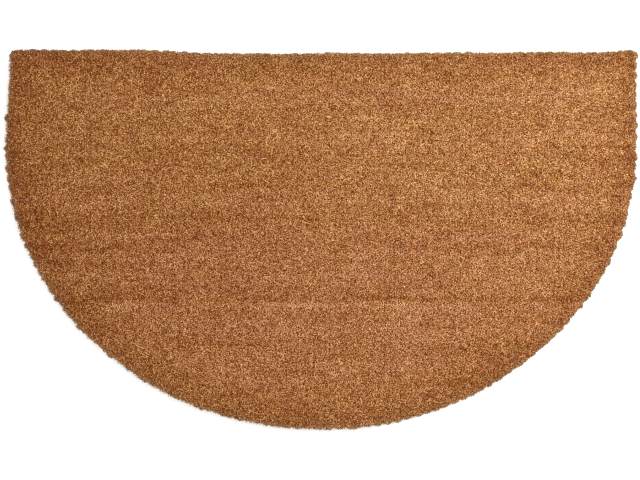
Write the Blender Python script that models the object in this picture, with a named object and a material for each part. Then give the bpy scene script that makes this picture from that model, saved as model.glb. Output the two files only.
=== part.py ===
"""Half-round coir doormat, laid flat.

One die-cut piece: coir fibres stand upright in a thin ground and are shorn level, and the cut edge has
no binding, so the outer fibres lean out past the ground all the way round. The mat is modelled as the
one solid that this pile fills. Units are metres, +Z is up, the straight edge lies at +Y and the origin
is at the centre of the underside.
"""

import math
import random

import bmesh
import bpy

# Driving dimensions.
WIDTH = 0.750
DEPTH = 0.4518
THICKNESS = 0.016
SIDE_LENGTH = 0.115  # the short side, from the back corner to where the curve begins

# How the hand-laid outline strays from the drawn one.
LEFT_LEAN = 0.0065  # the left back corner lies this far in from the widest point
RIGHT_LEAN = 0.0010
BACK_EDGE = (  # the straight edge dips between its corners
    {"across": -1.00, "dip": 0.0000},
    {"across": -0.62, "dip": 0.0004},
    {"across": -0.22, "dip": 0.0044},
    {"across": 0.10, "dip": 0.0040},
    {"across": 0.60, "dip": 0.0026},
    {"across": 0.88, "dip": 0.0030},
    {"across": 1.00, "dip": 0.0008},
)
WAVES = (  # long, shallow waves round the outline
    {"count": 7, "height": 0.0004, "turn": 0.6},
    {"count": 17, "height": 0.0003, "turn": 2.1},
)
CORNER_REACH = 0.009  # the pile rounds off a corner over this length

# The ragged rim: one lump for each row end or tuft that stands out.
LUMP_PITCH = 0.012
POINTS_PER_LUMP = 4
SIDE_LUMP = 0.0024  # row ends, on the short sides
BACK_LUMP = 0.0011  # flanks of the outermost row, along the straight edge
LUMP_MIDDLE = 0.35  # share of a lump that lies inside the drawn outline
LUMP_SEED = 11

# The rim's section from the underside to the level top. Height is a share of the thickness, inset is
# measured in from the fullest line, and lumps is the share of the raggedness that shows at that height.
# A level with no lumps is smooth, so it has only one point for each lump above or below it.
RIM_SECTION = (
    {"height": 0.00, "inset": 0.0030, "lumps": 0.0},
    {"height": 0.84, "inset": 0.0000, "lumps": 1.0},
    {"height": 0.95, "inset": 0.0020, "lumps": 1.0},
    {"height": 1.00, "inset": 0.0120, "lumps": 0.0},
)

FINE_STEP = 0.0005  # spacing of the drawn outline before it is divided into lumps

COIR_COLOUR = (0.381, 0.156, 0.056, 1.0)  # linear, the mean of the shorn face
COIR_ROUGHNESS = 0.92


def clear_scene():
    for obj in list(bpy.data.objects):
        bpy.data.objects.remove(obj, do_unlink=True)


def dip_at(across):
    """The back edge's dip, easing from one table row to the next."""
    for low, high in zip(BACK_EDGE, BACK_EDGE[1:]):
        if across <= high["across"]:
            share = (across - low["across"]) / (high["across"] - low["across"])
            ease = share * share * (3 - 2 * share)
            return low["dip"] + ease * (high["dip"] - low["dip"])
    return BACK_EDGE[-1]["dip"]


def drawn_outline():
    """The outline as it was drawn, anticlockwise from the right back corner, in fine steps."""
    half = WIDTH / 2
    back = DEPTH / 2
    curve_start = back - SIDE_LENGTH
    curve_depth = DEPTH - SIDE_LENGTH
    right_corner = half - RIGHT_LEAN
    left_corner = -half + LEFT_LEAN
    points = []

    steps = round((right_corner - left_corner) / FINE_STEP)
    for i in range(steps):
        across = 1 - 2 * i / steps
        x = left_corner + (across + 1) / 2 * (right_corner - left_corner)
        points.append((x, back - dip_at(across)))

    steps = round(SIDE_LENGTH / FINE_STEP)
    for i in range(steps):
        share = i / steps
        swell = math.sin(share * math.pi / 2)
        points.append((left_corner + swell * (-half - left_corner), back - share * SIDE_LENGTH))

    steps = round(math.pi * (half + curve_depth) / 2 / FINE_STEP)
    for i in range(steps):
        angle = math.pi + math.pi * i / steps
        points.append((half * math.cos(angle), curve_start + curve_depth * math.sin(angle)))

    steps = round(SIDE_LENGTH / FINE_STEP)
    for i in range(steps):
        share = i / steps
        swell = math.cos(share * math.pi / 2)
        points.append((right_corner + swell * (half - right_corner), curve_start + share * SIDE_LENGTH))
    return points


def rounded(points):
    """Each point moved to the mean of its neighbours within the corner's reach."""
    reach = round(CORNER_REACH / FINE_STEP / 2)
    count = len(points)
    window = 2 * reach + 1
    result = []
    for i in range(count):
        near = [points[(i + k) % count] for k in range(-reach, reach + 1)]
        result.append((sum(p[0] for p in near) / window, sum(p[1] for p in near) / window))
    return result


def evenly_spaced(points, count):
    """The closed outline again as this many points, a constant distance apart along it."""
    lengths = [0.0]
    for a, b in zip(points, points[1:] + points[:1]):
        lengths.append(lengths[-1] + math.dist(a, b))
    spaced = []
    k = 0
    for i in range(count):
        along = lengths[-1] * i / count
        while lengths[k + 1] < along:
            k += 1
        a = points[k]
        b = points[(k + 1) % len(points)]
        share = (along - lengths[k]) / (lengths[k + 1] - lengths[k])
        spaced.append((a[0] + share * (b[0] - a[0]), a[1] + share * (b[1] - a[1])))
    return spaced


def outward_normals(points):
    count = len(points)
    normals = []
    for i in range(count):
        before = points[i - 1]
        after = points[(i + 1) % count]
        run = math.dist(before, after)
        normals.append(((after[1] - before[1]) / run, (before[0] - after[0]) / run))
    return normals


def rim_offsets(normals, lump_count):
    """For each outline point, how far the long waves and the lumps push it outwards."""
    rng = random.Random(LUMP_SEED)
    sizes = [rng.uniform(0.2, 1.0) for _ in range(lump_count)]
    offsets = []
    for i, normal in enumerate(normals):
        turn = 2 * math.pi * i / len(normals)
        wave = sum(w["height"] * math.sin(w["count"] * turn + w["turn"]) for w in WAVES)
        lump, step = divmod(i, POINTS_PER_LUMP)
        tallest = BACK_LUMP + (SIDE_LUMP - BACK_LUMP) * abs(normal[0])
        arch = sizes[lump] * math.sin(math.pi * step / POINTS_PER_LUMP)
        offsets.append({"wave": wave, "bulge": tallest * (arch - LUMP_MIDDLE)})
    return offsets


def rim_rings():
    """The mat's outline at each height of its rim section, with the whole mat's box centred."""
    fine = rounded(drawn_outline())
    length = sum(math.dist(a, b) for a, b in zip(fine, fine[1:] + fine[:1]))
    lump_count = round(length / LUMP_PITCH)
    outline = evenly_spaced(fine, lump_count * POINTS_PER_LUMP)
    normals = outward_normals(outline)
    offsets = rim_offsets(normals, lump_count)
    rings = []
    for level in RIM_SECTION:
        ring = []
        for point, normal, offset in zip(outline, normals, offsets):
            out = offset["wave"] + level["lumps"] * offset["bulge"] - level["inset"]
            spot = (point[0] + out * normal[0], point[1] + out * normal[1], level["height"] * THICKNESS)
            ring.append(spot)
        rings.append(ring if level["lumps"] else ring[::POINTS_PER_LUMP])
    every = [p for ring in rings for p in ring]
    middle_x = (min(p[0] for p in every) + max(p[0] for p in every)) / 2
    middle_y = (min(p[1] for p in every) + max(p[1] for p in every)) / 2
    return [[(x - middle_x, y - middle_y, z) for x, y, z in ring] for ring in rings]


def coir_material():
    material = bpy.data.materials.new("coir")
    material.use_nodes = True
    shader = material.node_tree.nodes["Principled BSDF"]
    shader.inputs["Base Color"].default_value = COIR_COLOUR
    shader.inputs["Roughness"].default_value = COIR_ROUGHNESS
    shader.inputs["Metallic"].default_value = 0.0
    return material


def closed_loop(bm, ring):
    verts = [bm.verts.new(point) for point in ring]
    return [bm.edges.new((verts[i - 1], verts[i])) for i in range(len(verts))]


def build_mat(collection):
    """The outline at each height bridged to the next one, with the underside and the top filled."""
    bm = bmesh.new()
    loops = [closed_loop(bm, ring) for ring in rim_rings()]
    for lower, upper in zip(loops, loops[1:]):
        bmesh.ops.bridge_loops(bm, edges=lower + upper)
    bmesh.ops.contextual_create(bm, geom=loops[0])
    bmesh.ops.contextual_create(bm, geom=loops[-1])
    bmesh.ops.recalc_face_normals(bm, faces=bm.faces)
    mesh = bpy.data.meshes.new("coir_mat")
    bm.to_mesh(mesh)
    bm.free()
    mesh.shade_smooth()
    mesh.set_sharp_from_angle(angle=math.radians(40))
    mat = bpy.data.objects.new("coir_mat", mesh)
    mat.data.materials.append(coir_material())
    collection.objects.link(mat)


def main():
    clear_scene()
    collection = bpy.data.collections.new("doormat")
    bpy.context.scene.collection.children.link(collection)
    build_mat(collection)


main()
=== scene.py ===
import math

import bpy
import numpy as np
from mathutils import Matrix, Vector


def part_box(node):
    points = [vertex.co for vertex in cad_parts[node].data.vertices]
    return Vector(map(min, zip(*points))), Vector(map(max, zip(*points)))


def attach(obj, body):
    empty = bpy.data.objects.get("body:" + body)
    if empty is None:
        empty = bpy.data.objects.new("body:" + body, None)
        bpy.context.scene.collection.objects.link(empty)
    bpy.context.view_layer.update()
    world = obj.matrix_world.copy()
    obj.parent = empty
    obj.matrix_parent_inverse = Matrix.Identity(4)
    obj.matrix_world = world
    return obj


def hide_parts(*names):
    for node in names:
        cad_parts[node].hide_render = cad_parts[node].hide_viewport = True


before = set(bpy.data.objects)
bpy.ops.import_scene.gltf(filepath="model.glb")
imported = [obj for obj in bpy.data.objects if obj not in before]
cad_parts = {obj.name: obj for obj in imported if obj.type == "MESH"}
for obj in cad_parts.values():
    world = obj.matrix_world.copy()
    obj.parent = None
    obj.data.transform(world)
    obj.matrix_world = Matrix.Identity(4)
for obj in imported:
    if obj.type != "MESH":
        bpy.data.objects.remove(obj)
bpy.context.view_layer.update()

mm = 0.001

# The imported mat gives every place: its fullest line, its foot and its thickness.
matLow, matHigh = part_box("coir_mat")
matThickness = matHigh.z - matLow.z


def toLinear(hexColour):
    parts = [int(hexColour[i:i + 2], 16) / 255 for i in (1, 3, 5)]
    return tuple(c / 12.92 if c <= 0.04045 else ((c + 0.055) / 1.055) ** 2.4 for c in parts) + (1.0,)


def addNode(tree, kind, settings=None, links=None):
    # settings are the node's own fields or its inputs, and links lead from an input to another node's output
    node = tree.nodes.new(kind)
    for name, value in (settings or {}).items():
        if isinstance(name, str) and hasattr(node, name):
            setattr(node, name, value)
        else:
            node.inputs[name].default_value = value
    for name, output in (links or {}).items():
        tree.links.new(output, node.inputs[name])
    return node


def newMaterial(name):
    material = bpy.data.materials.new(name)
    material.use_nodes = True
    material.node_tree.nodes.clear()
    return material, material.node_tree


def setRamp(node, stops):
    ramp = node.color_ramp
    while len(ramp.elements) < len(stops):
        ramp.elements.new(0.5)
    for element, (place, hexColour) in zip(ramp.elements, stops):
        element.position = place
        element.color = toLinear(hexColour)


def smoothNoise(x, y, cellX, cellY, seed):
    # soft random values from -1 to 1 that change over cellX by cellY metres, on a grid that repeats
    cells = 64
    grid = np.random.default_rng(seed).uniform(-1, 1, (cells, cells))
    u = x / cellX + 31.3
    v = y / cellY + 31.7
    iu = np.floor(u).astype(int)
    iv = np.floor(v).astype(int)
    fu = u - iu
    fv = v - iv
    fu = fu * fu * (3 - 2 * fu)
    fv = fv * fv * (3 - 2 * fv)
    left = iu % cells
    right = (iu + 1) % cells
    low = iv % cells
    high = (iv + 1) % cells
    near = grid[left, low] * (1 - fu) + grid[right, low] * fu
    far = grid[left, high] * (1 - fu) + grid[right, high] * fu
    return near * (1 - fv) + far * fv


# The outline at the mat's fullest height, as points in order round the mat, with their outward normals.
def readOutline():
    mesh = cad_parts["coir_mat"].data
    points = np.empty(len(mesh.vertices) * 3)
    mesh.vertices.foreach_get("co", points)
    points = points.reshape(-1, 3)
    share = (points[:, 2] - matLow.z) / matThickness
    fullest = points[(share > 0.7) & (share < 0.9)]
    ring = np.unique(fullest[:, :2].round(6), axis=0)
    # the whole outline can be seen from this spot, so the angle from it puts the points in order
    middle = np.array([0.0, 0.12 * (matHigh.y - matLow.y)])
    ring = ring[np.argsort(np.arctan2(*(ring - middle).T[::-1]))]
    return ring, normalsOf(ring)


def normalsOf(ring):
    run = np.roll(ring, -2, axis=0) - np.roll(ring, 2, axis=0)
    normal = np.stack([run[:, 1], -run[:, 0]], axis=1)
    return normal / np.linalg.norm(normal, axis=1, keepdims=True)


def evened(ring, reach):
    # the outline without its lumps
    return np.mean([np.roll(ring, k, axis=0) for k in range(-reach, reach + 1)], axis=0)


outline, outlineNormal = readOutline()


def insetOf(x, y):
    # how far each point lies in from the outline (less than 0 outside it), and which way is out
    inset = np.empty(len(x))
    out = np.empty((len(x), 2))
    atOnce = 4000  # points, which keeps the memory small
    for first in range(0, len(x), atOnce):
        part = slice(first, first + atOnce)
        gapX = outline[None, :, 0] - x[part, None]
        gapY = outline[None, :, 1] - y[part, None]
        reach = gapX ** 2 + gapY ** 2
        spot = reach.argmin(axis=1)
        rows = np.arange(len(spot))
        across = gapX[rows, spot] * outlineNormal[spot, 0] + gapY[rows, spot] * outlineNormal[spot, 1]
        inset[part] = np.where(across > 0, np.sqrt(reach[rows, spot]), across)
        out[part] = outlineNormal[spot]
    return inset, out


# How light or dark the face is from place to place. Its rows were laid and dried a little unlike each other,
# so each row that shows has its place up from the mat's middle and its half height in mm, and its shade.
shadeRows = (
    (172, 12, 0.045),
    (146, 6, -0.03),
    (122, 6.5, 0.06),
    (94, 5, -0.035),
    (71, 4, 0.02),
    (64, 2.5, -0.05),
    (46, 5.5, 0.045),
    (23, 6, -0.04),
    (5, 4, 0.03),
    (-7, 4, -0.025),
    (-17, 2.5, 0.03),
    (-43, 4, 0.03),
    (-50, 2, -0.015),
    (-70.5, 3, -0.13),
    (-78, 3.5, 0.08),
    (-88, 2.5, -0.025),
    (-111, 7, 0.04),
    (-124, 4, -0.025),
)

shadePatches = (
    # across and up from the mat's middle, half length and half height in mm, then lighter or darker
    {"across": -225, "up": -63, "long": 42, "high": 8, "shade": -0.06},
    {"across": 135, "up": -86, "long": 85, "high": 10, "shade": 0.035},
    {"across": -95, "up": 97, "long": 135, "high": 7, "shade": -0.035},
    {"across": -60, "up": 14, "long": 190, "high": 26, "shade": -0.02},
    {"across": 315, "up": 178, "long": 50, "high": 32, "shade": 0.06},
    {"across": 0, "up": -207, "long": 200, "high": 20, "shade": -0.1},
    {"across": 205, "up": -164, "long": 80, "high": 38, "shade": -0.12},
    {"across": -180, "up": -142, "long": 50, "high": 18, "shade": -0.05},
    {"across": 90, "up": 100, "long": 90, "high": 80, "shade": 0.028},
    {"across": 320, "up": 66, "long": 60, "high": 12, "shade": 0.05},
    {"across": 265, "up": 0, "long": 60, "high": 20, "shade": -0.04},
    {"across": -200, "up": -8, "long": 30, "high": 26, "shade": -0.035},
    {"across": -345, "up": 205, "long": 30, "high": 15, "shade": 0.06},
    {"across": -340, "up": 45, "long": 30, "high": 20, "shade": -0.04},
    {"across": 20, "up": 204, "long": 60, "high": 12, "shade": -0.035},
    {"across": -155, "up": -106, "long": 30, "high": 14, "shade": 0.035},
    {"across": 85, "up": -114, "long": 80, "high": 14, "shade": 0.035},
    {"across": 255, "up": 202, "long": 30, "high": 12, "shade": -0.045},
    {"across": -260, "up": -112, "long": 35, "high": 28, "shade": -0.035},
    {"across": 302, "up": -66, "long": 25, "high": 22, "shade": -0.035},
)

placeShade = {
    "paintedLightLeftToRight": 0.08,  # painted light: the right side is painted lighter, as the light falls from the right
    "rim": -0.11,  # painted shade: the pile near the cut edge is painted darker, as the splayed edge stands in more shadow, and most of all along the two ends
    "rimReach": 22 * mm,
    "ends": -0.12,
    "endReach": 50 * mm,
    "rowFade": 0.5,  # how much a row's strength changes along it
    "rowFadeCell": (55 * mm, 12 * mm),
    "rowWander": 1.5 * mm,  # how far a row wanders up and down
    "rowWanderCell": (80 * mm, 400 * mm),
}

# Streaks and blotches that may lie anywhere on the face.
scattered = (
    {"cell": (90 * mm, 4.5 * mm), "shade": 0.045, "seed": 21},
    {"cell": (45 * mm, 9 * mm), "shade": 0.045, "seed": 22},
    {"cell": (28 * mm, 22 * mm), "shade": 0.03, "seed": 23},
)


def rowShadeAt(x, y):
    along = 1 + placeShade["rowFade"] * smoothNoise(x, y, *placeShade["rowFadeCell"], 24)
    wander = placeShade["rowWander"] * smoothNoise(x, y, *placeShade["rowWanderCell"], 25)
    fromMiddle = (y + wander) / mm
    rows = [amount * np.exp(-((fromMiddle - up) / high) ** 2) for up, high, amount in shadeRows]
    return along * sum(rows)


def shadeAt(x, y, inset):
    # the rows' own shade, and painted light that grows toward the right side
    shade = rowShadeAt(x, y) + placeShade["paintedLightLeftToRight"] * x / matHigh.x
    # painted shade along the cut edge, the deepest at the two ends
    fromEdge = np.clip(inset, 0, None)
    shade = shade + placeShade["rim"] * np.exp(-(fromEdge / placeShade["rimReach"]) ** 2)
    atEnd = np.clip(np.abs(x) / matHigh.x, 0, 1) ** 2
    shade = shade + placeShade["ends"] * atEnd * np.exp(-(fromEdge / placeShade["endReach"]) ** 2)
    for streak in scattered:
        shade = shade + streak["shade"] * smoothNoise(x, y, *streak["cell"], streak["seed"])
    for patch in shadePatches:
        u = (x / mm - patch["across"]) / patch["long"]
        v = (y / mm - patch["up"]) / patch["high"]
        shade = shade + patch["shade"] * np.exp(-u ** 4 - v ** 2)
    return shade


# How warm the fibre is from place to place: 0 is straw yellow, and 1 is the redder fibre.
placeWarmth = {
    "least": 0.25,
    "lowerMiddle": 0.45,  # more of the redder fibre lies there, away from the cut edge
    "turnUp": 20 * mm,
    "turnReach": 50 * mm,
    "edgeReach": 45 * mm,
    "rows": 3.0,  # the lighter rows are the redder ones
    "streak": 0.22,
    "streakCell": (60 * mm, 9 * mm),
    "blotch": 0.18,
    "blotchCell": (16 * mm, 12 * mm),
}


def warmthAt(x, y, inset):
    lower = 0.5 + 0.5 * np.tanh(-(y - placeWarmth["turnUp"]) / placeWarmth["turnReach"])
    inside = 1 - np.exp(-np.clip(inset, 0, None) / placeWarmth["edgeReach"])
    warmth = placeWarmth["least"] + placeWarmth["lowerMiddle"] * lower * inside
    warmth = warmth + placeWarmth["rows"] * rowShadeAt(x, y)
    warmth = warmth + placeWarmth["streak"] * smoothNoise(x, y, *placeWarmth["streakCell"], 26)
    return warmth + placeWarmth["blotch"] * smoothNoise(x, y, *placeWarmth["blotchCell"], 27)


# Painted shade: the fibres right at the cut edge are greyed and darkened, as the outermost ones stand in
# shadow, and a little of it reaches further in.
edgeGreyShadeLayers = (
    {"strength": 0.38, "reach": 3.8 * mm},
    {"strength": 0.1, "reach": 16 * mm},
)


def edgeGreyShadeAt(inset):
    fromEdge = np.clip(inset, 0, None)
    return sum(layer["strength"] * np.exp(-(fromEdge / layer["reach"]) ** 2) for layer in edgeGreyShadeLayers)


def setAttribute(mesh, name, values):
    mesh.attributes.new(name, "FLOAT", "POINT").data.foreach_set("value", values.astype(np.float32))


# Fibres as closed three-sided rods joined in one mesh. spine is fibre by joint by xyz and starts at the
# pointed, buried end. radius is fibre by joint, without that end. The last joint is the blunt, shorn tip.
# tone gives each fibre its shade, warmth and painted grey edge shade, which the material reads.
def fibrePiece(name, spine, radius, tone, material):
    count, joints = spine.shape[:2]
    rings = joints - 1
    axis = spine[:, -1] - spine[:, 0]
    axis = axis / np.linalg.norm(axis, axis=1, keepdims=True)
    turn = np.random.default_rng(count).uniform(0, 2 * math.pi, count)
    level = np.stack([np.cos(turn), np.sin(turn), np.zeros(count)], axis=1)
    side = np.cross(axis, level)
    side = side / np.linalg.norm(side, axis=1, keepdims=True)
    other = np.cross(axis, side)
    points = [spine[:, :1]]
    for k in range(rings):
        for corner in range(3):
            angle = 2 * math.pi * corner / 3
            out = math.cos(angle) * side + math.sin(angle) * other
            points.append((spine[:, k + 1] + radius[:, k, None] * out)[:, None])
    points = np.concatenate(points, axis=1)

    # one fibre's faces, and where each of their corners lies in the fibre's cell of the colour map
    faces = []
    for k in range(3):
        nextOne = (k + 1) % 3
        faces.append(([0, 1 + nextOne, 1 + k], [(0.5, 0.0), (1.0, 1 / rings), (0.0, 1 / rings)]))
        for ring in range(1, rings):
            low = 3 * ring - 2
            corners = [low + k, low + nextOne, low + 3 + nextOne, low + 3 + k]
            below = ring / rings
            above = (ring + 1) / rings
            faces.append((corners, [(0.0, below), (1.0, below), (1.0, above), (0.0, above)]))
    top = 3 * rings - 2
    faces.append(([top, top + 1, top + 2], [(0.0, 0.8), (1.0, 0.8), (0.5, 1.0)]))
    sizes = np.array([len(corners) for corners, places in faces])
    corners = np.concatenate([corners for corners, places in faces])
    places = np.concatenate([np.array(places) for corners, places in faces])

    mesh = bpy.data.meshes.new(name)
    perFibre = points.shape[1]
    mesh.vertices.add(count * perFibre)
    mesh.vertices.foreach_set("co", points.ravel())
    first = np.arange(count) * perFibre
    mesh.loops.add(count * len(corners))
    mesh.loops.foreach_set("vertex_index", (first[:, None] + corners).ravel().astype(np.int32))
    mesh.polygons.add(count * len(sizes))
    starts = np.concatenate([[0], np.cumsum(sizes)[:-1]])
    starts = (np.arange(count)[:, None] * len(corners) + starts).ravel()
    mesh.polygons.foreach_set("loop_start", starts.astype(np.int32))
    mesh.polygons.foreach_set("use_smooth", np.ones(count * len(sizes), bool))

    # each fibre has its own cell, laid out from the darkest to the lightest, with every other row upside
    # down, so that tips lie beside tips and roots beside roots
    columns = math.ceil(math.sqrt(count))
    rank = np.empty(count, int)
    rank[np.argsort(tone["shade"])] = np.arange(count)
    row = rank // columns
    column = np.where(row % 2 == 0, rank % columns, columns - 1 - rank % columns)
    margin = 0.12
    inCell = margin + (1 - 2 * margin) * places
    u = (column[:, None] + inCell[:, 0]) / columns
    upright = np.where(row[:, None] % 2 == 0, inCell[:, 1], 1 - inCell[:, 1])
    v = (row[:, None] + upright) / columns
    colourMap = mesh.uv_layers.new(name="OFBake")
    colourMap.uv.foreach_set("vector", np.stack([u, v], axis=2).ravel().astype(np.float32))

    along = np.concatenate([[0.0], np.repeat(np.arange(1, rings + 1) / rings, 3)])
    setAttribute(mesh, "along", np.tile(along, count))
    for kind, values in tone.items():
        setAttribute(mesh, kind, np.repeat(values, perFibre))
    mesh.update(calc_edges=True)
    mesh.validate()
    mesh.materials.append(material)
    piece = bpy.data.objects.new(name, mesh)
    bpy.context.scene.collection.objects.link(piece)
    print(f"{name}: {count} fibres, {count * (6 * rings - 2)} triangles", flush=True)
    return piece


# Coir: the brown husk fibre of ripe coconuts, dry and unspun, shorn across. Its waxy skin gives a soft,
# broad shine on the flanks, and its colour runs from dark husk brown to straw from fibre to fibre.
coir = {
    "ramp": ((0.0, "#722c04"), (0.25, "#a0612d"), (0.5, "#c38c5a"), (0.75, "#dcad7d"), (1.0, "#eecba1")),
    "straw": "#fffadc",  # the ramp is multiplied by this where the fibre is yellowest
    "rust": "#ffeeec",  # and by this where it is reddest
    # the grey that the tips at the cut edge are painted toward, as painted shade
    "edgeGreyShade": "#8b8a6e",
    # the tint at the root: partly painted shade of the pile's depths, partly the fibre's own darker root
    "root": "#c0af89",
    "fleckLength": 2 * mm,
    "fleckDark": 0.82,
    "fleckLight": 1.08,
    "ridgeWidth": 0.5 * mm,  # the real 0.05 mm would not show
    "ridgeHeight": 0.1 * mm,
    "roughness": 0.75,
    "roughnessSpread": 0.1,
}


def makeShornCoir():
    material, tree = newMaterial("shornCoirFibre")
    shade = addNode(tree, "ShaderNodeAttribute", {"attribute_name": "shade"})
    ramp = addNode(tree, "ShaderNodeValToRGB", links={"Fac": shade.outputs["Fac"]})
    setRamp(ramp, coir["ramp"])
    warmth = addNode(tree, "ShaderNodeAttribute", {"attribute_name": "warmth"})
    tintRamp = addNode(tree, "ShaderNodeValToRGB", links={"Fac": warmth.outputs["Fac"]})
    setRamp(tintRamp, ((0.0, coir["straw"]), (1.0, coir["rust"])))
    tint = addNode(
        tree,
        "ShaderNodeVectorMath",
        {"operation": "MULTIPLY"},
        {0: ramp.outputs["Color"], 1: tintRamp.outputs["Color"]},
    )

    # painted shade: the tips of the fibres at the cut edge are greyed and darkened, as if in shadow
    along = addNode(tree, "ShaderNodeAttribute", {"attribute_name": "along"})
    atTip = addNode(tree, "ShaderNodeMath", {"operation": "POWER", 1: 2.0}, {0: along.outputs["Fac"]})
    edgeGreyShade = addNode(tree, "ShaderNodeAttribute", {"attribute_name": "edgeGreyShade"})
    tipGreyShade = addNode(
        tree,
        "ShaderNodeMath",
        {"operation": "MULTIPLY"},
        {0: edgeGreyShade.outputs["Fac"], 1: atTip.outputs["Value"]},
    )
    greyShaded = addNode(
        tree,
        "ShaderNodeMixRGB",
        {"Color2": toLinear(coir["edgeGreyShade"])},
        {"Fac": tipGreyShade.outputs["Value"], "Color1": tint.outputs["Vector"]},
    )

    # a fibre is darker and warmer down at its root: partly painted shade of the pile's depths, partly the
    # fibre's own darker root
    depth = addNode(tree, "ShaderNodeValToRGB", links={"Fac": along.outputs["Fac"]})
    setRamp(depth, ((0.2, coir["root"]), (0.95, "#ffffff")))
    rooted = addNode(
        tree,
        "ShaderNodeVectorMath",
        {"operation": "MULTIPLY"},
        {0: greyShaded.outputs["Color"], 1: depth.outputs["Color"]},
    )

    # light and dark lengths along a fibre
    place = addNode(tree, "ShaderNodeTexCoord")
    mottle = addNode(
        tree,
        "ShaderNodeTexNoise",
        {"Scale": 1 / coir["fleckLength"], "Detail": 2.0},
        {"Vector": place.outputs["Object"]},
    )
    fleck = addNode(
        tree,
        "ShaderNodeMapRange",
        {"From Min": 0.3, "From Max": 0.7, "To Min": coir["fleckDark"], "To Max": coir["fleckLight"]},
        {"Value": mottle.outputs["Fac"]},
    )
    colour = addNode(
        tree,
        "ShaderNodeVectorMath",
        {"operation": "SCALE"},
        {0: rooted.outputs["Vector"], "Scale": fleck.outputs["Result"]},
    )

    # fine ridges of the fibre's skin
    ridges = addNode(
        tree,
        "ShaderNodeTexNoise",
        {"Scale": 1 / coir["ridgeWidth"], "Detail": 3.0},
        {"Vector": place.outputs["Object"]},
    )
    bump = addNode(
        tree,
        "ShaderNodeBump",
        {"Strength": 0.35, "Distance": coir["ridgeHeight"]},
        {"Height": ridges.outputs["Fac"]},
    )
    rough = addNode(
        tree,
        "ShaderNodeMapRange",
        {
            "To Min": coir["roughness"] - coir["roughnessSpread"],
            "To Max": coir["roughness"] + coir["roughnessSpread"],
        },
        {"Value": mottle.outputs["Fac"]},
    )
    shader = addNode(
        tree,
        "ShaderNodeBsdfPrincipled",
        {"IOR": 1.5, "Specular IOR Level": 0.1},
        {
            "Base Color": colour.outputs["Vector"],
            "Roughness": rough.outputs["Result"],
            "Normal": bump.outputs["Normal"],
        },
    )
    addNode(tree, "ShaderNodeOutputMaterial", links={"Surface": shader.outputs["BSDF"]})
    return material


shornCoir = makeShornCoir()


# Matted coir: the tangled, crushed lower pile, fused into its thin ground. It is seen only as the rough,
# shineless dark between the tips and at the foot of the cut edge, and its dark browns are painted shade of
# the pile's depths.
matted = {
    "ramp": ((0.35, "#3a1401"), (0.5, "#5e2e08"), (0.65, "#804e28")),
    "tangleWidth": 1.0 * mm,  # the real fibres' 0.2 mm would not show
    "tangleHeight": 0.8 * mm,
    "upright": 0.1,  # it is stretched upward, because on the wall the fibres stand side by side
    "footShade": 0.45,  # painted shade: darker toward the foot, by the floor
    "footShadeReach": 7.92 * mm,
    "roughness": 0.9,
}


def makeMattedCoir():
    material, tree = newMaterial("mattedCoirPile")
    place = addNode(tree, "ShaderNodeTexCoord")
    upright = addNode(
        tree,
        "ShaderNodeMapping",
        {"Scale": (1.0, 1.0, matted["upright"])},
        {"Vector": place.outputs["Object"]},
    )
    tangle = addNode(
        tree,
        "ShaderNodeTexNoise",
        {"Scale": 1 / matted["tangleWidth"], "Detail": 3.0},
        {"Vector": upright.outputs["Vector"]},
    )
    ramp = addNode(tree, "ShaderNodeValToRGB", links={"Fac": tangle.outputs["Fac"]})
    setRamp(ramp, matted["ramp"])
    apart = addNode(tree, "ShaderNodeSeparateXYZ", links={"Vector": place.outputs["Object"]})
    # painted shade toward the foot
    footShade = addNode(
        tree,
        "ShaderNodeMapRange",
        {
            "From Min": matLow.z,
            "From Max": matLow.z + matted["footShadeReach"],
            "To Min": matted["footShade"],
        },
        {"Value": apart.outputs["Z"]},
    )
    colour = addNode(
        tree,
        "ShaderNodeVectorMath",
        {"operation": "SCALE"},
        {0: ramp.outputs["Color"], "Scale": footShade.outputs["Result"]},
    )
    bump = addNode(
        tree,
        "ShaderNodeBump",
        {"Strength": 0.9, "Distance": matted["tangleHeight"]},
        {"Height": tangle.outputs["Fac"]},
    )
    shader = addNode(
        tree,
        "ShaderNodeBsdfPrincipled",
        {"Roughness": matted["roughness"], "Specular IOR Level": 0.15},
        {"Base Color": colour.outputs["Vector"], "Normal": bump.outputs["Normal"]},
    )
    addNode(tree, "ShaderNodeOutputMaterial", links={"Surface": shader.outputs["BSDF"]})
    return material


mattedCoir = makeMattedCoir()

# The ground is one closed body that follows the outline, and its foot lacks the outline's lumps.
groundBody = {
    "height": 13.2 * mm,
    "lowShare": 0.3,  # of the height, where the foot turns into the wall
    "wallShare": 0.85,  # of the height, where the wall is fullest
    # how far in it lies, from its foot up
    "footInset": 3.6 * mm,
    "lowInset": 2.6 * mm,
    "wallInset": 1.8 * mm,
    "topInset": 3.0 * mm,
    # how many of the outline's points on either side are evened out
    "footEvening": 6,
    "evening": 2,
}


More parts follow.
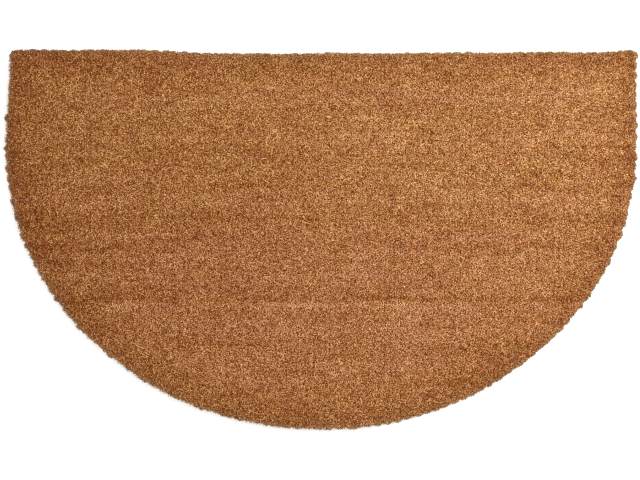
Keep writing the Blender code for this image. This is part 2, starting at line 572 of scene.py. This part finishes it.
def makeGround():
    plain = evened(outline, groundBody["footEvening"])
    softened = evened(outline, groundBody["evening"])
    height = groundBody["height"]
    levels = (
        (0.0, plain, groundBody["footInset"]),
        (groundBody["lowShare"] * height, softened, groundBody["lowInset"]),
        (groundBody["wallShare"] * height, outline, groundBody["wallInset"]),
        (height, softened, groundBody["topInset"]),
    )
    inward = -normalsOf(plain)
    points = []
    for up, ring, inset in levels:
        points.append(np.column_stack([ring + inset * inward, np.full(len(ring), matLow.z + up)]))
    count = len(outline)
    faces = [list(range(count))[::-1], [(len(levels) - 1) * count + i for i in range(count)]]
    for level in range(len(levels) - 1):
        low = level * count
        for i in range(count):
            k = (i + 1) % count
            faces.append([low + i, low + k, low + count + k, low + count + i])
    mesh = bpy.data.meshes.new("mattedGround")
    mesh.from_pydata(np.concatenate(points).tolist(), [], faces)
    mesh.materials.append(mattedCoir)
    ground = bpy.data.objects.new("mattedGround", mesh)
    bpy.context.scene.collection.objects.link(ground)
    return ground


ground = makeGround()
print("ground made", flush=True)

# What the fibres of every piece share.
fibre = {
    "thickness": (0.7, 1.3),  # the thinnest and the thickest against the piece's radius
    "warmthSpread": 0.06,
}

# The standing pile: tufts in columns, each a bunch of fibres that leans over and splays at its shorn tips.
pile = {
    "tipPitch": 1.2 * mm,
    "tipJitter": 0.35 * mm,
    "overEdge": 0.2 * mm,  # how far outside the outline a tip may stand
    "columnPitch": 6.45 * mm,
    "rowPitch": 4.3 * mm,
    "gather": 0.25,  # how far the roots draw together to the middle of their tuft
    "lean": 3.2 * mm,
    "leanRange": (0.5, 1.3),
    "swirl": 9 * mm,  # over how far the lean changes its heading
    "tuftTurn": 1.2,  # how much a tuft and a fibre turn from that heading, in radians
    "fibreTurn": 0.7,
    "rootHeight": 9.5 * mm,
    "shornHeight": 15.3 * mm,
    "unevenness": 0.25 * mm,
    "tuftUnevenness": 0.7,  # a whole tuft's part of that
    "edgeDrop": 1.4 * mm,  # how much lower the pile is at the cut edge
    "edgeDropReach": 4 * mm,
    "edgeRoot": 3.0 * mm,  # no root lies nearer to the cut edge
    "tipRadius": 0.44 * mm,  # the real 0.1 to 0.2 mm would not show, so fibres are drawn coarser and fewer
    "shade": 0.515,
    "tuftShade": 0.04,
    "shadeSpread": 0.25,
    "pieces": 4,
    "seed": 5,
}


def makePile():
    rng = np.random.default_rng(pile["seed"])
    columns = np.arange(matLow.x, matHigh.x, pile["tipPitch"])
    rows = np.arange(matLow.y, matHigh.y, pile["tipPitch"])
    x, y = (a.ravel() for a in np.meshgrid(columns, rows))
    x = x + rng.normal(0, pile["tipJitter"], len(x))
    y = y + rng.normal(0, pile["tipJitter"], len(y))
    inset = insetOf(x, y)[0]
    keep = inset > -pile["overEdge"]
    x, y, inset = x[keep], y[keep], inset[keep]
    count = len(x)

    # the tuft that each tip belongs to, and the turn, height and shade that its fibres share (one is spare)
    column = np.round(x / pile["columnPitch"]).astype(int)
    row = np.round(y / pile["rowPitch"] + 0.5 * (column % 2)).astype(int)
    tuft = np.unique(np.column_stack([column, row]), axis=0, return_inverse=True)[1].ravel()
    tufts = tuft.max() + 1
    shared = rng.normal(0, 1, (4, tufts))[:, tuft]
    tuftX = column * pile["columnPitch"]
    tuftY = (row - 0.5 * (column % 2)) * pile["rowPitch"]

    heading = math.pi * smoothNoise(x, y, pile["swirl"], pile["swirl"], 31)
    heading = heading + pile["tuftTurn"] * shared[0] + rng.normal(0, pile["fibreTurn"], count)
    lean = pile["lean"] * rng.uniform(*pile["leanRange"], count)
    uneven = pile["unevenness"] * (pile["tuftUnevenness"] * shared[1] + rng.normal(0, 1, count))
    drop = pile["edgeDrop"] * np.exp(-np.clip(inset, 0, None) / pile["edgeDropReach"])
    tip = np.column_stack([x, y, matLow.z + pile["shornHeight"] + uneven - drop])
    root = np.empty((count, 3))
    root[:, 0] = x - lean * np.cos(heading) + pile["gather"] * (tuftX - x)
    root[:, 1] = y - lean * np.sin(heading) + pile["gather"] * (tuftY - y)
    root[:, 2] = matLow.z + pile["rootHeight"]
    # by the cut edge the fibres lean outward, because all of them grow from inside
    rootInset, rootOut = insetOf(root[:, 0], root[:, 1])
    root[:, :2] -= np.clip(pile["edgeRoot"] - rootInset, 0, None)[:, None] * rootOut
    spine = np.stack([root, tip], axis=1)
    radius = pile["tipRadius"] * rng.uniform(*fibre["thickness"], (count, 1))
    shade = pile["shade"] + shadeAt(x, y, inset) + pile["tuftShade"] * shared[2]
    shade = shade + rng.normal(0, pile["shadeSpread"], count)
    warmth = warmthAt(x, y, inset) + rng.normal(0, fibre["warmthSpread"], count)
    edgeGreyShade = edgeGreyShadeAt(inset)
    # each piece is a strip of the mat, from the bow up to the straight edge
    strip = np.argsort(np.argsort(y)) * pile["pieces"] // count
    made = []
    for k in range(pile["pieces"]):
        part = strip == k
        name = f"pileRows{k + 1}"
        tone = {"shade": shade[part], "warmth": warmth[part], "edgeGreyShade": edgeGreyShade[part]}
        made.append(fibrePiece(name, spine[part], radius[part], tone, shornCoir))
    return made


pileRows = makePile()

# Fibres of the cut edge stand in uneven bunches with narrow gaps between, and lean out past the ground.
rim = {
    "bunch": 12.0 * mm,
    "bunchRange": (0.5, 1.5),
    "proud": 0.85 * mm,
    "endsProud": 0.6 * mm,  # the two ends and the left of the bow are the more ragged
    "leftBowProud": 0.85 * mm,
    "leftBowWay": (-0.6, -0.8),
    # by what part of that the fullest bunches stand out, and the gaps between them lie in
    "bunchOut": 1.2,
    "gapIn": 0.8,
    "unevenness": 0.2 * mm,
    "shorn": 0.3 * mm,
    "jointShare": 0.55,  # how far up a fibre its joint lies
    "radius": 0.4 * mm,
    "taper": (1.1, 0.8),
    # painted shade: the edge fibres are darker than the pile's, for their shaded flanks
    "shade": 0.44,
    "shadeSpread": 0.2,
    "outermostShade": -0.1,  # painted shade: the outermost fibres are painted the darkest, as they stand in shadow
    "outermostReach": 1.2 * mm,
    "seed": 8,
}

# How far along the outline each of its points lies, and the first one again at the end.
outlineEdges = np.linalg.norm(np.roll(outline, -1, axis=0) - outline, axis=1)
outlineWay = np.concatenate([[0], np.cumsum(outlineEdges)])


def placeAt(t, out):
    # the places t along the outline and out from it, with their outward normals
    spot = np.interp(t % outlineWay[-1], outlineWay, np.arange(len(outlineWay)))
    low = spot.astype(int) % len(outline)
    high = (low + 1) % len(outline)
    share = (spot - spot.astype(int))[:, None]
    normal = outlineNormal[low] * (1 - share) + outlineNormal[high] * share
    place = outline[low] * (1 - share) + outline[high] * share
    return place + out[:, None] * normal, normal


def placeBunches(rng):
    # each bunch's middle along the outline, half the gap to the one before it, and its size, mostly small
    middles = np.cumsum(rng.uniform(*rim["bunchRange"], int(outlineWay[-1] / rim["bunch"])))
    middles = middles * outlineWay[-1] / middles[-1]
    halfGaps = 0.5 * np.diff(middles, prepend=middles[-1] - outlineWay[-1])
    return middles, halfGaps, rng.uniform(0, 1, len(middles)) ** 1.5


def raggedAt(normal):
    # how ragged the cut edge is, by the way that it faces
    ends = np.abs(normal[:, 0]) ** 3
    leftBow = np.clip(normal @ rim["leftBowWay"], 0, 1) ** 2
    return rim["proud"] + rim["endsProud"] * ends + rim["leftBowProud"] * leftBow


def bunched(rng, t, bunches):
    # which way the middle of the bunch lies, and how far out its tips stand
    middles, halfGaps, sizes = bunches
    bunch = np.abs(t[:, None] - middles[None, :]).argmin(axis=1)
    toMiddle = middles[bunch] - t
    bulge = np.clip(1 - np.abs(toMiddle / halfGaps[bunch]) ** 3, 0, None)
    share = (rim["bunchOut"] + rim["gapIn"]) * sizes[bunch] * bulge - rim["gapIn"]
    push = raggedAt(placeAt(t, np.zeros(len(t)))[1]) * share - rim["shorn"]
    return toMiddle, push + rim["unevenness"] * rng.normal(0, 1, len(t))


def rimSpine(root, rootUp, tip, tipUp, bow):
    # from the ground to the tip, with a joint between that is drawn in by bow
    share = rim["jointShare"]
    joint = (1 - share) * root[0] + share * tip[0] - bow * tip[1]
    jointUp = (1 - share) * rootUp + share * tipUp
    levels = [(root[0], rootUp), (joint, jointUp), (tip[0], tipUp)]
    return np.stack([np.column_stack([place, matLow.z + up]) for place, up in levels], axis=1)


def rimPiece(rng, name, spine, layer, thin):
    # layer is how far in from the outermost fibres each one stands
    count = len(layer)
    radius = rim["radius"] * rng.uniform(*fibre["thickness"], (count, 1)) * np.array([rim["taper"]])
    radius = radius * thin[:, None]
    x = spine[:, -1, 0]
    y = spine[:, -1, 1]
    # painted shade: the outermost fibres darkest, and all of them as dark as the face right at the cut edge
    atEdge = np.zeros(count)
    outermost = rim["outermostShade"] * np.exp(-(layer / rim["outermostReach"]) ** 2)
    shade = rim["shade"] + outermost + shadeAt(x, y, atEdge) + rng.normal(0, rim["shadeSpread"], count)
    warmth = warmthAt(x, y, atEdge) + rng.normal(0, fibre["warmthSpread"], count)
    tone = {"shade": shade, "warmth": warmth, "edgeGreyShade": edgeGreyShadeAt(layer)}
    return fibrePiece(name, spine, radius, tone, shornCoir)


# The tips that border the shorn face.
topTips = {
    "count": 7000,
    "reach": 4.0 * mm,  # how far in they stand at most, and more of them stand further out
    "height": 14.2 * mm,
    "heightSpread": 0.5 * mm,
    "highest": 15.6 * mm,
    "rootShare": (0.3, 0.65),  # how high a root lies, against its tip
    "rootInset": 3.2 * mm,
    "rootFollow": 0.6,  # how much further in the roots of the inner tips lie
    "gather": 0.3,  # how far the tips draw together to the middle of their bunch
    "spread": 0.8 * mm,
    "bow": 0.4 * mm,
    "strays": 0.02,
    "strayOut": (0.7 * mm, 2.4 * mm),
    "strayThickness": 0.6,
}


def makeTopTips(rng, bunches):
    count = topTips["count"]
    t = rng.uniform(0, outlineWay[-1], count)
    toMiddle, push = bunched(rng, t, bunches)
    layer = topTips["reach"] * rng.uniform(0, 1, count) ** 1.3
    stray = rng.uniform(0, 1, count) < topTips["strays"]
    out = push - layer + stray * rng.uniform(*topTips["strayOut"], count)
    up = topTips["height"] + topTips["heightSpread"] * rng.normal(0, 1, count)
    up = np.minimum(up, topTips["highest"])
    rootUp = up * rng.uniform(*topTips["rootShare"], count)
    spread = topTips["spread"] * rng.normal(0, 1, count)
    tip = placeAt(t + topTips["gather"] * toMiddle + spread, out)
    root = placeAt(t, -topTips["rootInset"] - topTips["rootFollow"] * layer)
    spine = rimSpine(root, rootUp, tip, up, topTips["bow"])
    thin = np.where(stray, topTips["strayThickness"], 1.0)
    return rimPiece(rng, "rimFibres", spine, layer, thin)


# The fibres that stand along the wall, rooted low and splayed a little outward.
wall = {
    "count": 6500,
    "reach": 1.4 * mm,
    "height": 14.0 * mm,
    "fullShare": 0.7,  # of the fibres, which reach that height
    "shortest": 7.0 * mm,
    "heightSpread": 0.6 * mm,
    "rootUp": (0.3 * mm, 1.9 * mm),
    "rootInset": 3.1 * mm,
    "rootFollow": 0.3,  # how much nearer to the edge the higher roots lie
    "splay": 0.1,
    "gather": 0.25,
    "spread": 1.0 * mm,
    "bow": -0.7 * mm,
}


def makeWallFibres(rng, bunches):
    count = wall["count"]
    t = rng.uniform(0, outlineWay[-1], count)
    toMiddle, push = bunched(rng, t, bunches)
    layer = wall["reach"] * rng.uniform(0, 1, count)
    full = rng.uniform(0, 1, count) < wall["fullShare"]
    up = np.where(full, wall["height"], rng.uniform(wall["shortest"], wall["height"], count))
    up = up + wall["heightSpread"] * rng.normal(0, 1, count)
    rootUp = rng.uniform(*wall["rootUp"], count)
    out = push - layer - wall["splay"] * (wall["height"] - up)
    spread = wall["spread"] * rng.normal(0, 1, count)
    tip = placeAt(t + wall["gather"] * toMiddle + spread, out)
    root = placeAt(t, wall["rootFollow"] * rootUp - wall["rootInset"])
    spine = rimSpine(root, rootUp, tip, up, wall["bow"])
    return rimPiece(rng, "wallFibres", spine, layer, np.ones(count))


def makeRim():
    rng = np.random.default_rng(rim["seed"])
    bunches = placeBunches(rng)
    topFibres = makeTopTips(rng, bunches)
    wallFibres = makeWallFibres(rng, bunches)
    return [topFibres, wallFibres]


rimFibres = makeRim()

# Longer fibres that the shears missed, lying bent across the shorn face.
strands = {
    "count": 3500,
    "longest": 13 * mm,
    "lengthRange": (0.35, 1.0),
    "bend": 0.9,  # in radians
    "inset": 6 * mm,  # none lies nearer to the cut edge
    "heights": (12.0 * mm, 14.9 * mm, 15.6 * mm, 14.9 * mm),  # from the buried end to the loose one
    "heightSpread": 0.2 * mm,
    "radius": 0.3 * mm,
    "taper": (1.0, 1.0, 0.7),
    "shade": 0.72,
    "shadeSpread": 0.15,
    "seed": 13,
}


def makeStrands():
    rng = np.random.default_rng(strands["seed"])
    tries = 3 * strands["count"]  # enough of these lie inside the outline
    x = rng.uniform(matLow.x, matHigh.x, tries)
    y = rng.uniform(matLow.y, matHigh.y, tries)
    inset = insetOf(x, y)[0]
    keep = np.flatnonzero(inset > strands["inset"])[:strands["count"]]
    x, y, inset = x[keep], y[keep], inset[keep]
    count = len(x)
    reach = strands["longest"] * rng.uniform(*strands["lengthRange"], count)
    heading = rng.uniform(0, 2 * math.pi, count)
    bend = rng.normal(0, strands["bend"], count)
    joints = len(strands["heights"])
    spine = np.empty((count, joints, 3))
    for k, height in enumerate(strands["heights"]):
        share = k / (joints - 1) - 0.5
        angle = heading + bend * share
        spine[:, k, 0] = x + reach * share * np.cos(angle)
        spine[:, k, 1] = y + reach * share * np.sin(angle)
        spine[:, k, 2] = matLow.z + height + rng.normal(0, strands["heightSpread"], count)
    radius = strands["radius"] * rng.uniform(*fibre["thickness"], (count, 1)) * np.array([strands["taper"]])
    shade = strands["shade"] + shadeAt(x, y, inset) + rng.normal(0, strands["shadeSpread"], count)
    tone = {"shade": shade, "warmth": warmthAt(x, y, inset), "edgeGreyShade": np.zeros(count)}
    return fibrePiece("looseStrands", spine, radius, tone, shornCoir)


looseStrands = makeStrands()

# Every piece moves with the mat's one body and stands for the imported solid.
fibrePieces = [*pileRows, *rimFibres, looseStrands]
for piece in [ground, *fibrePieces]:
    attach(piece, "root")
    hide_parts("coir_mat")

studio = {
    "floor": "#f4f4f2",
    "floorWidth": 12.0,
    "floorGap": 0.2 * mm,
    "cameraHeight": 2.4,
    "fieldWidth": 757.9 * mm,
    "cameraAcross": -1.7 * mm,
    "cameraUp": -0.8 * mm,
    "sensorWidth": 36,
    "keyPlace": (1.1, 0.45, 1.4),
    "keySize": 0.7,
    "keyPower": 30,
    "world": 1.6,
}


def makeStudio():
    # matt white paint, which throws soft light back up at the cut edge
    material, tree = newMaterial("paintedFloor")
    paint = {"Base Color": toLinear(studio["floor"]), "Roughness": 0.9}
    shader = addNode(tree, "ShaderNodeBsdfPrincipled", paint)
    addNode(tree, "ShaderNodeOutputMaterial", links={"Surface": shader.outputs["BSDF"]})
    mesh = bpy.data.meshes.new("floor")
    half = 0.5 * studio["floorWidth"]
    corners = [(-half, -half, 0), (half, -half, 0), (half, half, 0), (-half, half, 0)]
    mesh.from_pydata(corners, [], [(0, 1, 2, 3)])
    mesh.materials.append(material)
    floor = bpy.data.objects.new("floor", mesh)
    floor.location.z = matLow.z - studio["floorGap"]
    bpy.context.scene.collection.objects.link(floor)

    world = bpy.data.worlds.new("softRoom")
    bpy.context.scene.world = world
    world.use_nodes = True
    background = world.node_tree.nodes["Background"]
    background.inputs["Color"].default_value = (1, 1, 1, 1)
    background.inputs["Strength"].default_value = studio["world"]

    key = bpy.data.lights.new("softKey", "AREA")
    key.size = studio["keySize"]
    key.energy = studio["keyPower"]
    keyObject = bpy.data.objects.new("softKey", key)
    keyObject.location = studio["keyPlace"]
    bpy.context.scene.collection.objects.link(keyObject)
    keyObject.rotation_mode = "QUATERNION"
    keyObject.rotation_quaternion = keyObject.location.to_track_quat("Z", "Y")  # faces the mat's middle

    camera = bpy.data.cameras.new("overhead")
    camera.sensor_width = studio["sensorWidth"]
    # the field is fieldWidth wide at the shorn face
    toFace = studio["cameraHeight"] - matThickness
    camera.lens = studio["sensorWidth"] * toFace / studio["fieldWidth"]
    cameraObject = bpy.data.objects.new("overhead", camera)
    cameraObject.location = (studio["cameraAcross"], studio["cameraUp"], matLow.z + studio["cameraHeight"])
    bpy.context.scene.collection.objects.link(cameraObject)
    bpy.context.scene.camera = cameraObject
    bpy.context.scene.view_settings.view_transform = "Standard"
    bpy.context.scene.cycles.use_denoising = False  # a denoiser takes the single fibres for noise


makeStudio()
print("studio made", flush=True)
